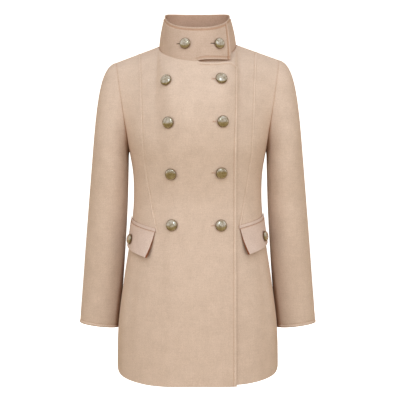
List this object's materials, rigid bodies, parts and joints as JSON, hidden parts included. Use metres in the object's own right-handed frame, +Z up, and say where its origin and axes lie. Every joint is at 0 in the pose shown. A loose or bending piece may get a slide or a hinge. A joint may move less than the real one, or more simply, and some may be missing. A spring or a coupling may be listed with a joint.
{
  "type": "double-breasted military coat",
  "caption": "Hollow worn double-breasted wool coat with a stand collar lapped and buttoned at the neck, princess seams, set-in sleeves and slanted hip pocket flaps.",
  "frame": {"origin": "midway between the two side neck points, where the hollow coat is held", "axes": "+X towards the wearer's left, +Y towards the back, +Z up"},
  "size_m": [0.5482, 0.2835, 0.8377],
  "materials": {
    "wool": "matt felted wool, pale pinkish beige",
    "button_metal": "polished, slightly aged"
  },
  "bodies": {
    "root": {"front_right": "wool", "front_left": "wool", "side_front_right": "wool", "side_front_left": "wool", "back_right": "wool", "back_left": "wool", "sleeve_top_right": "wool", "sleeve_top_left": "wool", "sleeve_under_right": "wool", "sleeve_under_left": "wool", "collar": "wool", "pocket_flap_right": "wool", "pocket_flap_left": "wool", "pocket_welt_right": "wool", "pocket_welt_left": "wool", "button_front_1": "button_metal", "button_front_2": "button_metal", "button_front_3": "button_metal", "button_front_4": "button_metal", "button_front_5": "button_metal", "button_front_6": "button_metal", "button_front_7": "button_metal", "button_front_8": "button_metal", "button_collar_1": "button_metal", "button_collar_2": "button_metal", "button_flap_right": "button_metal", "button_flap_left": "button_metal"}
  },
  "joints": []
}
